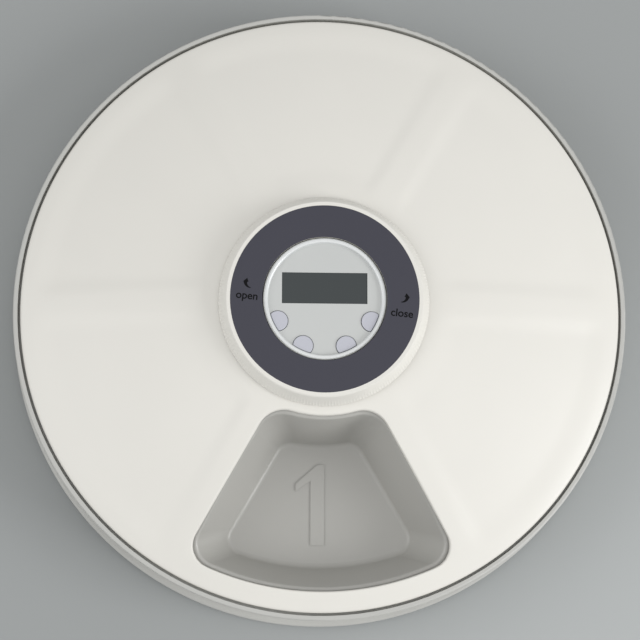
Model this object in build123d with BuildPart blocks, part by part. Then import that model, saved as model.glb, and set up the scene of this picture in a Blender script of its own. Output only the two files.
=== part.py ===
"""Automatic pet feeder: a round base, an indexing six-pocket food tray, a domed lid with one
feeding opening, a bayonet lock ring and a control head on a fixed centre column.

Frame: millimetres, z up from the table, the turning axis on z, the feeding opening towards -y.
"""
import os
from math import acos, atan, atan2, ceil, cos, degrees, hypot, pi, radians, sin, sqrt, tan

from build123d import *

os.makedirs("parts", exist_ok=True)

# Overall sizes
RIM_RADIUS = 160.0
RIM_Z = 42.0
FLANGE_WIDTH = 4.0
FLANGE_HEIGHT = 4.0
BASE_FLOOR = 3.0
BASE_WALL = 2.4
LEDGE_DEPTH = 5.2
LEDGE_WIDTH = 4.6
LEDGE_THICKNESS = 2.0
FOOT_HEIGHT = 2.5
FOOT_RADIUS = 9.0
FOOT_INSET = 20.0
FOOT_PLUG_RADIUS = 3.0
FOOT_PLUG_HEIGHT = 1.8
FIT_CLEARANCE = 0.05

# Food tray and lid sectors
POCKETS = 6
OPENING_SIDE = 3.25
OPENING_HUB_GAP = 4.5
OPENING_EDGE = 10.9
OPENING_CORNER = 14.0
OPENING_OUTER_CORNER = 11.5
OPENING_LIP = 1.2
RECESS_SIDE = 9.0
RECESS_HUB_GAP = 9.5
RECESS_EDGE = 11.7
RECESS_CORNER = 12.0
RECESS_DEPTH = 1.0
TRAY_WALL = 2.0
TRAY_CLEARANCE = 1.2
TRAY_EDGE_GAP = 2.0
TRAY_SKIRT = 7.0
FLOOR_SIDE = 16.5
FLOOR_GAP = 0.18
FLOOR_INSET = 12.3
FLOOR_CORNER = 9.0
TOP_SIDE = 2.2
INNER_DRAFT = 0.202
OUTER_DRAFT = 0.389
POCKET_CORNER = 14.0
POCKET_OUTER_CORNER = 11.0
POCKET_FILLET = 3.0
POCKET_RIM = 1.6
POCKET_OVERRUN = 4.0
DIGIT_HEIGHT = 42.2
DIGIT_STROKE = 7.0
DIGIT_SLIMNESS = 0.52
DIGIT_RELIEF = 0.8
DIGIT_ROOT = 0.5
DIGIT_SHIFT = 0.5
DIGIT_ONE = [
    (0.065, 0.5),
    (0.065, -0.5),
    (-0.107, -0.5),
    (-0.107, 0.3),
    (-0.295, 0.173),
    (-0.295, 0.26),
    (-0.024, 0.5),
]
DIGIT_STROKES = {
    2: [((-1, 0.48), (0, 1), (1, 0.48)), ((1, 0.48), (-1, -1)), ((-1, -1), (1, -1))],
    3: [((-1, 1), (1, 1)), ((1, 1), (0, 0.15)), ((0, 0.15), (1, -0.45), (-1, -0.8))],
    4: [((0.5, -1), (0.5, 1)), ((0.5, 1), (-1, -0.4)), ((-1, -0.4), (1, -0.4))],
    5: [((1, 1), (-1, 1)), ((-1, 1), (-1, 0.15)), ((-1, 0.15), (1, -0.35), (-1, -0.85))],
    6: [
        ((0.7, 1), (-0.6, 0.4), (-1, -0.48)),
        ((-1, -0.48), (0, 0.04), (1, -0.48)),
        ((-1, -0.48), (0, -1), (1, -0.48)),
    ],
}

# Lid dome
LID_GAP = 1.4
LID_THICKNESS = 3.0
LID_SKIRT = 2.3
LID_EDGE_RISE = 0.3
LID_EDGE_ROUND = 1.2
SEAT_OFFSET = 1.5
SEAT_DROP = 9.5
REST_GAP = 0.1

# Lock ring and control head
RING_FACE_RADIUS = 47.6
RING_PLATE = 2.5
RING_LIP = 2.4
RING_EDGE = 0.6
RING_FLARE = 3.5
RING_LIFT = 1.0
RING_WALL = 2.2
FACE_DEPTH = 0.8
NECK_INSET = 1.8
NECK_CLEARANCE = 0.4
RETAINER_LAP = 2.9
RETAINER_PLATE = 1.5
RETAINER_TRAY_GAP = 1.5
RETAINER_SCREWS = 3
RETAINER_SCREW_INSET = 3.4
RETAINER_SCREW_RADIUS = 1.1
RETAINER_HEAD_RADIUS = 2.3
RETAINER_HEAD = 1.1
RETAINER_THREAD = 6.0
RETAINER_BOSS_RADIUS = 2.8
HEAD_RADIUS = 31.0
HEAD_CLEARANCE = 0.4
HEAD_WALL = 2.0
BEZEL_WIDTH = 2.4
BEZEL_HEIGHT = 2.0
PANEL_DEPTH = 3.0
PANEL_PLATE = 2.0
LUGS = 3
LUG_ANGLE = 34.0
LUG_START = 30.0
TAB_START = 90.0
LUG_HEIGHT = 2.5
LUG_CLEARANCE = 0.5
LUG_REACH = 3.5
LUG_LAP = 0.5
LUG_SIDE_GAP = 0.9
TAB_RISE = 4.0
SLEEVE_WALL = 1.8

# Column and drive
COLUMN_MARGIN = 5.6
COLUMN_WALL = 2.5
WIRE_HOLE_Y = 10.0
WIRE_HOLE_RADIUS = 4.0
SCREW_ANGLES = (30, 150, 210, 330)
SCREW_OFFSET = 3.0
SCREW_RADIUS = 1.2
SCREW_PASS = 1.6
SCREW_BOSS_RADIUS = 3.4
SCREW_BOSS_HEIGHT = 4.7
SCREW_BOSS_ROOF = 0.5
SCREW_HEAD_RADIUS = 2.7
SCREW_HEAD = 1.4
SCREW_SUNK = 0.2
SCREW_SLOT = (3.0, 0.7)
SCREW_SLOT_DEPTH = 0.8
CELL_RADIUS = 13.1
CELL_LENGTH = 50.0
CELL_PITCH_RADIUS = 25.0
CELL_CLEARANCE = 0.3
CELL_LIFT = 1.0
CELL_CAP_RADIUS = 3.2
CELL_CAP = 1.0
WELL_WALL = 1.5
WELL_LIFT = 4.0
CONTACT_ROOM = 2.0
CONTACT_SIZE = (16.0, 9.0)
CONTACT_PLATE = 0.4
CONTACT_RADIUS = 2.4
GEAR_MODULE = 1.2
GEAR_ROOM = 10.0
GEAR_RIM = 3.0
GEAR_LIFT = 1.0
IDLER_TEETH = 20
PINION_TEETH = 12
PRESSURE_ANGLE = 25.0
BACKLASH = 0.12
GEAR_FACE = 4.2
GEAR_GAP = 0.2
SHAFT_RADIUS = 1.5
AXLE_SEAT = 1.0
AXLE_COLLAR_RADIUS = 3.0
AXLE_COLLAR = 0.6
WINDOW_GAP = 3.0
RUNNING_GAP = 0.3
TURNTABLE_GAP = 0.6
TURNTABLE_PLATE = 2.0
TURNTABLE_MARGIN = 8.5
DOG_WIDTH = 7.6
DOG_DEPTH = 5.0
DOG_HEIGHT = 5.0
DOG_CLEARANCE = 0.4
DOGS = 3
MAGNET_MARGIN = 4.5
MAGNET_RADIUS = 2.5
MAGNET_DEPTH = 1.4
SENSOR_BOARD = (14.0, 8.0, 1.4)
SENSOR_CHIP = (4.0, 4.0, 2.4)
MOTOR_RADIUS = 12.0
MOTOR_LENGTH = 30.0
MOTOR_BOSS_RADIUS = 4.0
MOTOR_CAP_RADIUS = 5.0
MOTOR_CAP = 2.0
SHAFT_INSERT = 9.0
BRACKET_WIDTH = 12.0
BRACKET_END = 5.0
BRACKET_OFFSET = 4.0
BRACKET_POST_RADIUS = 3.2
BRACKET_HEAD_RADIUS = 2.4
BRACKET_HEAD = 1.5

# Control panel
LCD_HEIGHT = 15.8
LCD_Y = 5.6
LCD_MARGIN = 1.5
LCD_CLEARANCE = 1.5
LCD_DEPTH = 2.6
LCD_WINDOW_SUNK = 0.3
LCD_WINDOW_LIFT = 0.4
LCD_FRAME_WALL = 2.0
BUTTON_RADIUS = 5.0
BUTTON_INSET = 2.5
BUTTON_ANGLES = (-64.3, -24.5, 24.5, 64.3)
BUTTON_CLEARANCE = 0.3
BUTTON_PROUD = 0.7
BUTTON_TRAVEL = 1.0
BUTTON_ROUND = 0.3
BUTTON_FLANGE = 0.9
BUTTON_FLANGE_HEIGHT = 1.2
STEM_INSET = 3.5
STEM_RADIUS = 1.4
STEM_GAP = 0.2
BOARD_DROP = 7.9
BOARD_THICKNESS = 1.6
BOARD_GAP = 0.7
BOARD_ROOM = 0.5
POST_X = 12.0
POST_GAP = 3.7
POST_RADIUS = 2.2
POST_END_GAP = 0.6
BOARD_SCREW_RADIUS = 0.9
BOARD_SCREW_HEAD = 1.0
BOARD_SCREW_HEAD_RADIUS = 1.8
BOARD_SCREW_LENGTH = 5.4
SWITCH_SIZE = 5.2
SWITCH_HEIGHT = 3.3
SWITCH_TIP_RADIUS = 1.6
SWITCH_TIP = 0.8
BUZZER_X = 6.0
BUZZER_RADIUS = 4.5
BUZZER_HEIGHT = 4.0
BUZZER_PORT = 1.0

# Battery door
DOOR_INSET = 2.1
DOOR_GAP = 0.4
DOOR_THICKNESS = 2.0
DOOR_HINGE_MARGIN = 1.2
HINGE_RADIUS = 1.5
HINGE_PIN_RADIUS = 0.9
HINGE_PIN_REACH = 2.0
HINGE_RELIEF = 0.8
HINGE_RELIEF_DEPTH = 4.0
PIN_CLEARANCE = 0.06
PIN_END_GAP = 0.2
PULL_SIZE = (22.0, 7.0)
PULL_OFFSET = 9.0
PULL_DEPTH = 0.9
DOOR_PAD_RADIUS = 7.0
DOOR_PAD = 0.5
DOOR_STUD_RADIUS = 4.0
DOOR_STUD = 0.8

# Heights, from the table up
floor_top = FOOT_HEIGHT + BASE_FLOOR
ledge_z = RIM_Z - LEDGE_DEPTH
gear_z = floor_top + GEAR_LIFT
turntable_z = gear_z + GEAR_FACE + RUNNING_GAP
turntable_top = turntable_z + TURNTABLE_PLATE
tray_floor_z = turntable_top + TRAY_WALL
cell_z = floor_top + CELL_LIFT
cell_top = cell_z + CELL_LENGTH - CELL_CAP
column_ceiling = cell_top + CONTACT_ROOM
column_top = column_ceiling + COLUMN_WALL
tab_z = column_top + TAB_RISE
lug_z = tab_z - LUG_CLEARANCE - LUG_HEIGHT
board_under = column_top + BOARD_ROOM + BOARD_SCREW_HEAD
board_top = board_under + BOARD_THICKNESS
panel_under = board_top + BOARD_DROP
panel_top = panel_under + PANEL_PLATE
ring_top = panel_top + PANEL_DEPTH
ring_under = ring_top - RING_PLATE
lid_edge_z = RIM_Z + LID_EDGE_RISE
hub_seat_z = ring_top - SEAT_DROP

# Radii, from the axis out
column_radius = CELL_PITCH_RADIUS + CELL_RADIUS + CELL_CLEARANCE + COLUMN_MARGIN
door_radius = column_radius - COLUMN_WALL - DOOR_INSET
screw_reach = column_radius + SCREW_OFFSET
ring_bore = HEAD_RADIUS + HEAD_CLEARANCE
ring_lip_radius = RING_FACE_RADIUS + RING_LIP
ring_skirt_radius = ring_lip_radius + RING_FLARE
ring_neck = ring_lip_radius - NECK_INSET
lid_hole = ring_neck + NECK_CLEARANCE
retainer_radius = lid_hole + RETAINER_LAP
retainer_screw_reach = ring_neck - RING_WALL - RETAINER_SCREW_INSET
tray_hole = retainer_radius + RETAINER_TRAY_GAP
flange_radius = RIM_RADIUS + FLANGE_WIDTH
foot_reach = RIM_RADIUS - FOOT_INSET
rim_inner = RIM_RADIUS - BASE_WALL
lid_radius = rim_inner - LID_GAP
skirt_inner = lid_radius - LID_SKIRT
ledge_inner = rim_inner - LEDGE_WIDTH
tray_radius = ledge_inner - TRAY_EDGE_GAP
opening_inner = ring_skirt_radius + OPENING_HUB_GAP
opening_outer = lid_radius - OPENING_EDGE
recess_inner = ring_skirt_radius + RECESS_HUB_GAP
recess_outer = lid_radius - RECESS_EDGE

# Gear train
ring_teeth = ceil(2 * (column_radius + GEAR_ROOM) / GEAR_MODULE - 0.001)
pitch_ring = GEAR_MODULE * ring_teeth / 2
pitch_idler = GEAR_MODULE * IDLER_TEETH / 2
pitch_pinion = GEAR_MODULE * PINION_TEETH / 2
addendum = 0.8 * GEAR_MODULE
dedendum = 1.1 * GEAR_MODULE
idler_y = pitch_ring - pitch_idler
motor_y = idler_y - pitch_idler - pitch_pinion
gear_rim = pitch_ring + dedendum + GEAR_RIM
magnet_reach = gear_rim + MAGNET_MARGIN
turntable_radius = gear_rim + TURNTABLE_MARGIN
floor_inner = turntable_radius + FLOOR_GAP + TRAY_WALL
floor_outer = opening_outer - FLOOR_INSET
digit_reach = (floor_inner + floor_outer) / 2 - DIGIT_SHIFT
bracket_x = MOTOR_RADIUS + BRACKET_OFFSET

# Dome, as a sphere through the lid's edge and its seat under the lock ring
seat_radius = ring_skirt_radius + SEAT_OFFSET
edge_square = lid_radius**2 + lid_edge_z**2
seat_square = seat_radius**2 + hub_seat_z**2
dome_centre = (edge_square - seat_square) / (2 * (lid_edge_z - hub_seat_z))
dome_radius = hypot(lid_radius, lid_edge_z - dome_centre)
deck_drop = LID_THICKNESS + TRAY_CLEARANCE

# Places
sector_step = 360 / POCKETS
cell_spots = [(CELL_PITCH_RADIUS, 0), (0, -CELL_PITCH_RADIUS), (-CELL_PITCH_RADIUS, 0)]
screw_spots = [(screw_reach * cos(radians(a)), screw_reach * sin(radians(a))) for a in SCREW_ANGLES]
bracket_spots = [(-bracket_x, motor_y), (bracket_x, motor_y)]


def dome_z(radius, drop=0.0):
    """Height of the lid's dome at a distance from the axis, measured a drop below its outside."""
    return dome_centre + sqrt((dome_radius - drop) ** 2 - radius**2)


def sector_outline(side, inner, outer, inner_corner, outer_corner, half=pi / POCKETS):
    """Rounded outline of one sector about -y, its sides parallel to the sector's two edges."""
    corners = []
    for reach in (inner, outer):
        run = sqrt(reach**2 - side**2)
        corners.append((run * sin(half) - side * cos(half), -run * cos(half) - side * sin(half)))
    (ix, iy), (ox, oy) = corners
    with BuildSketch() as outline:
        with BuildLine():
            Line((ix, iy), (ox, oy))
            ThreePointArc((ox, oy), (0, -outer), (-ox, oy))
            Line((-ox, oy), (-ix, iy))
            ThreePointArc((-ix, iy), (0, -inner), (ix, iy))
        make_face()
        fillet(outline.vertices().sort_by(lambda v: hypot(v.X, v.Y))[:2], inner_corner)
        fillet(outline.vertices().sort_by(lambda v: hypot(v.X, v.Y))[-2:], outer_corner)
    return outline.sketch


def ring_sketch(outer, inner):
    """Flat ring between two radii."""
    with BuildSketch() as ring:
        Circle(outer)
        Circle(inner, mode=Mode.SUBTRACT)
    return ring.sketch


def wedge_sketch(outer, inner, angle, centre):
    """Part of a flat ring, an angle wide about a centre direction in degrees."""
    first = radians(centre - angle / 2)
    last = radians(centre + angle / 2)
    middle = radians(centre)
    with BuildSketch() as wedge:
        with BuildLine():
            Line((inner * cos(first), inner * sin(first)), (outer * cos(first), outer * sin(first)))
            ThreePointArc(
                (outer * cos(first), outer * sin(first)),
                (outer * cos(middle), outer * sin(middle)),
                (outer * cos(last), outer * sin(last)),
            )
            Line((outer * cos(last), outer * sin(last)), (inner * cos(last), inner * sin(last)))
            ThreePointArc(
                (inner * cos(last), inner * sin(last)),
                (inner * cos(middle), inner * sin(middle)),
                (inner * cos(first), inner * sin(first)),
            )
        make_face()
    return wedge.sketch


def gear_outline(teeth, above, below, thinning, phase):
    """Involute spur outline; a negative thinning widens the teeth, for the hole of a ring gear."""
    pitch = GEAR_MODULE * teeth / 2
    base = pitch * cos(radians(PRESSURE_ANGLE))
    involute = tan(radians(PRESSURE_ANGLE)) - radians(PRESSURE_ANGLE)
    half = pi / (2 * teeth) - thinning / (2 * pitch) + involute
    root = pitch - below
    tip = pitch + above
    start = max(root, base)
    flank = []
    for step in range(4):
        reach = start + (tip - start) * step / 3
        swing = acos(min(1.0, base / reach))
        flank.append((reach, half - tan(swing) + swing))
    if root < start:
        flank.insert(0, (root, flank[0][1]))
    points = []
    for tooth in range(teeth):
        centre = radians(phase) + 2 * pi * tooth / teeth
        points += [(r * cos(centre - a), r * sin(centre - a)) for r, a in flank]
        points += [(r * cos(centre + a), r * sin(centre + a)) for r, a in reversed(flank)]
    with BuildSketch() as gear:
        with BuildLine():
            Polyline(*points, close=True)
        make_face()
    return gear.sketch


def digit_outline(digit):
    """Digit, DIGIT_HEIGHT tall, centred on the origin and upright along y."""
    tall = (DIGIT_HEIGHT - DIGIT_STROKE) / 2
    wide = DIGIT_SLIMNESS * tall
    with BuildSketch() as sketch:
        if digit == 1:
            with BuildLine():
                Polyline(*[(x * DIGIT_HEIGHT, y * DIGIT_HEIGHT) for x, y in DIGIT_ONE], close=True)
            make_face()
        for run in DIGIT_STROKES.get(digit, []):
            points = [Vector(x * wide, y * tall) for x, y in run]
            if len(points) == 3:
                SlotArc(ThreePointArc(*points), DIGIT_STROKE)
            else:
                reach = points[1] - points[0]
                middle = (points[0] + points[1]) / 2
                with Locations(Location(middle, (0, 0, degrees(atan2(reach.Y, reach.X))))):
                    SlotCenterToCenter(reach.length, DIGIT_STROKE)
    return sketch.sketch


def dome_edges(builder, drop, inner, outer):
    """Edges that lie on the dome, a drop below its outside, between two distances from the axis."""
    found = []
    for edge in builder.edges():
        spot = edge @ 0.5
        reach = hypot(spot.X, spot.Y)
        off = hypot(reach, spot.Z - dome_centre) - dome_radius + drop
        if abs(off) < 0.02 and inner < reach < outer and spot.Z > floor_top:
            found.append(edge)
    return found


def finish(builder, name):
    """Name a piece and write it out."""
    builder.part.label = name
    export_step(builder.part, f"parts/{name}.step")


# Base shell: floor, outer wall, lid ledge, battery opening and seats
hinge_y = CELL_RADIUS + CELL_CLEARANCE + DOOR_HINGE_MARGIN
hinge_z = FOOT_HEIGHT + HINGE_RADIUS
door_chord = hinge_y + HINGE_RADIUS + DOOR_GAP
door_hole = door_radius + DOOR_GAP
pin_run = sqrt(door_hole**2 - hinge_y**2)
pin_length = 2 * (pin_run + HINGE_PIN_REACH)
with BuildPart() as base_shell:
    with BuildSketch(Plane.XZ):
        with BuildLine():
            Polyline(
                (0, FOOT_HEIGHT),
                (flange_radius, FOOT_HEIGHT),
                (flange_radius, FOOT_HEIGHT + FLANGE_HEIGHT),
                (RIM_RADIUS, FOOT_HEIGHT + FLANGE_HEIGHT + 0.6),
                (RIM_RADIUS, RIM_Z),
                (rim_inner, RIM_Z),
                (rim_inner, ledge_z),
                (ledge_inner, ledge_z),
                (ledge_inner, ledge_z - LEDGE_THICKNESS),
                (rim_inner, ledge_z - LEDGE_THICKNESS - LEDGE_WIDTH),
                (rim_inner, floor_top),
                (0, floor_top),
                close=True,
            )
        make_face()
    revolve(axis=Axis.Z)
    flange_edges = base_shell.edges().filter_by(GeomType.CIRCLE).filter_by(
        lambda e: abs(e.radius - flange_radius) < 0.01
    )
    fillet(flange_edges, FLANGE_HEIGHT * 0.35)
    rim_edges = base_shell.edges().filter_by(GeomType.CIRCLE).filter_by(
        lambda e: abs(e.radius - RIM_RADIUS) < 0.01 and e.center().Z > ledge_z
    )
    fillet(rim_edges, BASE_WALL * 0.4)
    with BuildSketch(Plane.XY.offset(FOOT_HEIGHT)):
        Circle(door_hole)
        with Locations((0, door_chord)):
            Rectangle(2 * door_hole, door_hole, align=(Align.CENTER, Align.MIN), mode=Mode.SUBTRACT)
    extrude(amount=BASE_FLOOR, mode=Mode.SUBTRACT)
    with Locations((0, hinge_y, hinge_z)):
        Cylinder(
            HINGE_PIN_RADIUS + PIN_CLEARANCE,
            pin_length + 2 * PIN_END_GAP,
            rotation=(0, 90, 0),
            mode=Mode.SUBTRACT,
        )
    with BuildSketch(Plane.XY.offset(FOOT_HEIGHT)):
        with PolarLocations(foot_reach, POCKETS):
            Circle(FOOT_PLUG_RADIUS)
    extrude(amount=FOOT_PLUG_HEIGHT, mode=Mode.SUBTRACT)
    with BuildSketch(Plane.XY.offset(FOOT_HEIGHT)):
        with Locations(*screw_spots):
            Circle(SCREW_PASS)
    extrude(amount=BASE_FLOOR, mode=Mode.SUBTRACT)
    with BuildSketch(Plane.XY.offset(FOOT_HEIGHT)):
        with Locations(*screw_spots):
            Circle(SCREW_HEAD_RADIUS + RUNNING_GAP)
    extrude(amount=SCREW_SUNK + SCREW_HEAD, mode=Mode.SUBTRACT)
    with BuildSketch(Plane.XY.offset(floor_top - AXLE_SEAT)):
        with Locations((0, idler_y)):
            Circle(SHAFT_RADIUS)
    extrude(amount=AXLE_SEAT, mode=Mode.SUBTRACT)
finish(base_shell, "base_shell")

# Feet: soft pads pressed into the underside
with BuildPart() as rubber_feet:
    with BuildSketch():
        with PolarLocations(foot_reach, POCKETS):
            Circle(FOOT_RADIUS)
    extrude(amount=FOOT_HEIGHT)
    with BuildSketch(Plane.XY.offset(FOOT_HEIGHT)):
        with PolarLocations(foot_reach, POCKETS):
            Circle(FOOT_PLUG_RADIUS - FIT_CLEARANCE)
    extrude(amount=FOOT_PLUG_HEIGHT)
finish(rubber_feet, "rubber_feet")

# Centre column: fixed housing with battery wells, bayonet tabs and the neck of the control head
with BuildPart() as centre_column:
    with BuildSketch(Plane.XY.offset(floor_top)):
        Circle(column_radius)
    extrude(amount=column_top - floor_top)
    with BuildSketch(Plane.XY.offset(floor_top)):
        Circle(column_radius - COLUMN_WALL)
    extrude(amount=column_ceiling - floor_top, mode=Mode.SUBTRACT)
    with BuildSketch(Plane.XY.offset(floor_top + WELL_LIFT)):
        with Locations(*cell_spots):
            Circle(CELL_RADIUS + CELL_CLEARANCE + WELL_WALL)
    extrude(amount=column_ceiling - floor_top - WELL_LIFT)
    with BuildSketch(Plane.XY.offset(floor_top)):
        with Locations(*screw_spots):
            Circle(SCREW_BOSS_RADIUS)
    extrude(amount=SCREW_BOSS_HEIGHT)
    with BuildSketch(Plane.XY.offset(floor_top)):
        with Locations(*screw_spots):
            Circle(SCREW_RADIUS)
    extrude(amount=SCREW_BOSS_HEIGHT - SCREW_BOSS_ROOF, mode=Mode.SUBTRACT)
    with BuildSketch(Plane.XY.offset(floor_top)):
        with Locations(*cell_spots):
            Circle(CELL_RADIUS + CELL_CLEARANCE)
    extrude(amount=column_ceiling - floor_top, mode=Mode.SUBTRACT)
    with BuildSketch(Plane.XY.offset(column_top)):
        add(ring_sketch(HEAD_RADIUS, HEAD_RADIUS - HEAD_WALL))
    extrude(amount=panel_under - column_top)
    with BuildSketch(Plane.XY.offset(tab_z)):
        for lug in range(LUGS):
            turn = TAB_START + 360 / LUGS * lug
            add(wedge_sketch(HEAD_RADIUS + LUG_REACH, HEAD_RADIUS - LUG_LAP, LUG_ANGLE, turn))
    extrude(amount=LUG_HEIGHT)
    with BuildSketch(Plane.XY.offset(floor_top)):
        with Locations((0, idler_y)):
            Rectangle(2 * (pitch_idler + WINDOW_GAP), 2 * (COLUMN_WALL + 2 * WINDOW_GAP))
    extrude(amount=turntable_z + AXLE_COLLAR - floor_top, mode=Mode.SUBTRACT)
    with BuildSketch(Plane.XY.offset(column_ceiling)):
        with Locations((0, WIRE_HOLE_Y)):
            Circle(WIRE_HOLE_RADIUS)
    extrude(amount=COLUMN_WALL, mode=Mode.SUBTRACT)
finish(centre_column, "centre_column")

# Column screws, driven up through the base floor
with BuildPart() as column_screws:
    with BuildSketch(Plane.XY.offset(FOOT_HEIGHT + SCREW_SUNK)):
        with Locations(*screw_spots):
            Circle(SCREW_HEAD_RADIUS)
    extrude(amount=SCREW_HEAD)
    with BuildSketch(Plane.XY.offset(FOOT_HEIGHT + SCREW_SUNK + SCREW_HEAD)):
        with Locations(*screw_spots):
            Circle(SCREW_RADIUS)
    extrude(amount=BASE_FLOOR - SCREW_SUNK - SCREW_HEAD + SCREW_BOSS_HEIGHT - 2 * SCREW_BOSS_ROOF)
    with BuildSketch(Plane.XY.offset(FOOT_HEIGHT + SCREW_SUNK)):
        with Locations(*screw_spots):
            Rectangle(*SCREW_SLOT)
            Rectangle(*reversed(SCREW_SLOT))
    extrude(amount=SCREW_SLOT_DEPTH, mode=Mode.SUBTRACT)
finish(column_screws, "column_screws")

# Three C cells standing in their wells, with contact plates above
with BuildPart() as battery_cells:
    with BuildSketch(Plane.XY.offset(cell_z)):
        with Locations(*cell_spots):
            Circle(CELL_RADIUS)
    extrude(amount=cell_top - CELL_CAP - cell_z)
    with BuildSketch(Plane.XY.offset(cell_top - CELL_CAP)):
        with Locations(*cell_spots):
            Circle(CELL_CAP_RADIUS)
    extrude(amount=CELL_CAP)
finish(battery_cells, "battery_cells")

with BuildPart() as battery_contacts:
    with BuildSketch(Plane.XY.offset(column_ceiling - CONTACT_PLATE)):
        with Locations(*cell_spots):
            Rectangle(*CONTACT_SIZE)
    extrude(amount=CONTACT_PLATE)
    with BuildSketch(Plane.XY.offset(cell_top)):
        with Locations(*cell_spots):
            Circle(CONTACT_RADIUS)
    extrude(amount=column_ceiling - CONTACT_PLATE - cell_top)
finish(battery_contacts, "battery_contacts")

# Battery door: hinged D-shaped cover in the base floor, with its own contact strip
with BuildPart() as battery_door:
    with BuildSketch(Plane.XY.offset(FOOT_HEIGHT)):
        Circle(door_radius)
        with Locations((0, hinge_y)):
            Rectangle(2 * door_radius, door_radius, align=(Align.CENTER, Align.MIN), mode=Mode.SUBTRACT)
        for side in (-1, 1):
            with Locations((side * (pin_run - HINGE_RELIEF + HINGE_RELIEF_DEPTH), hinge_y)):
                Rectangle(2 * HINGE_RELIEF_DEPTH, 2 * HINGE_RELIEF_DEPTH, mode=Mode.SUBTRACT)
    extrude(amount=DOOR_THICKNESS)
    with Locations((0, hinge_y, hinge_z)):
        Cylinder(HINGE_RADIUS, 2 * (pin_run - HINGE_PIN_REACH), rotation=(0, 90, 0))
        Cylinder(HINGE_PIN_RADIUS, pin_length, rotation=(0, 90, 0))
    with BuildSketch(Plane.XY.offset(FOOT_HEIGHT)):
        with Locations((0, PULL_OFFSET - door_radius)):
            SlotOverall(*PULL_SIZE)
    extrude(amount=PULL_DEPTH, mode=Mode.SUBTRACT)
finish(battery_door, "battery_door")

with BuildPart() as door_contacts:
    with BuildSketch(Plane.XY.offset(FOOT_HEIGHT + DOOR_THICKNESS)):
        with Locations(*cell_spots):
            Circle(DOOR_PAD_RADIUS)
    extrude(amount=DOOR_PAD)
    with BuildSketch(Plane.XY.offset(FOOT_HEIGHT + DOOR_THICKNESS + DOOR_PAD)):
        with Locations(*cell_spots):
            Circle(DOOR_STUD_RADIUS)
    extrude(amount=DOOR_STUD)
finish(door_contacts, "door_contacts")

# Gear motor on its bracket, with the output pinion and the idler that drives the turntable
with BuildPart() as motor_bracket:
    with BuildSketch(Plane.XY.offset(turntable_z)):
        with Locations((0, motor_y)):
            SlotOverall(2 * (bracket_x + BRACKET_END), BRACKET_WIDTH)
    extrude(amount=TURNTABLE_PLATE)
    with BuildSketch(Plane.XY.offset(floor_top)):
        with Locations(*bracket_spots):
            Circle(BRACKET_POST_RADIUS)
    extrude(amount=turntable_z - floor_top)
    with BuildSketch(Plane.XY.offset(floor_top)):
        with Locations(*bracket_spots):
            Circle(SCREW_RADIUS)
        with Locations((0, motor_y)):
            Circle(MOTOR_BOSS_RADIUS + GEAR_GAP)
    extrude(amount=turntable_top - floor_top, mode=Mode.SUBTRACT)
finish(motor_bracket, "motor_bracket")

with BuildPart() as bracket_screws:
    with BuildSketch(Plane.XY.offset(floor_top + SCREW_BOSS_ROOF)):
        with Locations(*bracket_spots):
            Circle(SCREW_RADIUS)
    extrude(amount=turntable_top - floor_top - SCREW_BOSS_ROOF)
    with BuildSketch(Plane.XY.offset(turntable_top)):
        with Locations(*bracket_spots):
            Circle(BRACKET_HEAD_RADIUS)
    extrude(amount=BRACKET_HEAD)
finish(bracket_screws, "bracket_screws")

with BuildPart() as gear_motor:
    with BuildSketch(Plane.XY.offset(turntable_top)):
        with Locations((0, motor_y)):
            Circle(MOTOR_RADIUS)
    extrude(amount=MOTOR_LENGTH)
    with BuildSketch(Plane.XY.offset(turntable_z)):
        with Locations((0, motor_y)):
            Circle(MOTOR_BOSS_RADIUS)
    extrude(amount=TURNTABLE_PLATE)
    with BuildSketch(Plane.XY.offset(turntable_z)):
        with Locations((0, motor_y)):
            Circle(SHAFT_RADIUS + PIN_CLEARANCE)
    extrude(amount=SHAFT_INSERT + GEAR_LIFT, mode=Mode.SUBTRACT)
    with BuildSketch(Plane.XY.offset(turntable_top + MOTOR_LENGTH)):
        with Locations((0, motor_y)):
            Circle(MOTOR_CAP_RADIUS)
    extrude(amount=MOTOR_CAP)
finish(gear_motor, "gear_motor")

with BuildPart() as motor_pinion:
    with BuildSketch(Plane.XY.offset(gear_z)):
        with Locations((0, motor_y)):
            add(gear_outline(PINION_TEETH, addendum, dedendum, BACKLASH, 90 + 180 / PINION_TEETH))
    extrude(amount=GEAR_FACE)
    with BuildSketch(Plane.XY.offset(gear_z)):
        with Locations((0, motor_y)):
            Circle(SHAFT_RADIUS)
    extrude(amount=GEAR_FACE, mode=Mode.SUBTRACT)
finish(motor_pinion, "motor_pinion")

with BuildPart() as motor_shaft:
    with BuildSketch(Plane.XY.offset(gear_z - 2 * GEAR_GAP)):
        with Locations((0, motor_y)):
            Circle(SHAFT_RADIUS)
    extrude(amount=GEAR_FACE + SHAFT_INSERT)
finish(motor_shaft, "motor_shaft")

with BuildPart() as idler_axle:
    with BuildSketch(Plane.XY.offset(floor_top - AXLE_SEAT)):
        with Locations((0, idler_y)):
            Circle(SHAFT_RADIUS)
    extrude(amount=AXLE_SEAT + turntable_z - RUNNING_GAP - floor_top)
    with BuildSketch(Plane.XY.offset(floor_top)):
        with Locations((0, idler_y)):
            Circle(AXLE_COLLAR_RADIUS)
    extrude(amount=AXLE_COLLAR)
finish(idler_axle, "idler_axle")

with BuildPart() as idler_gear:
    with BuildSketch(Plane.XY.offset(gear_z)):
        with Locations((0, idler_y)):
            add(gear_outline(IDLER_TEETH, addendum, dedendum, BACKLASH, 90))
            Circle(SHAFT_RADIUS + PIN_CLEARANCE, mode=Mode.SUBTRACT)
    extrude(amount=GEAR_FACE - GEAR_GAP)
finish(idler_gear, "idler_gear")

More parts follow.
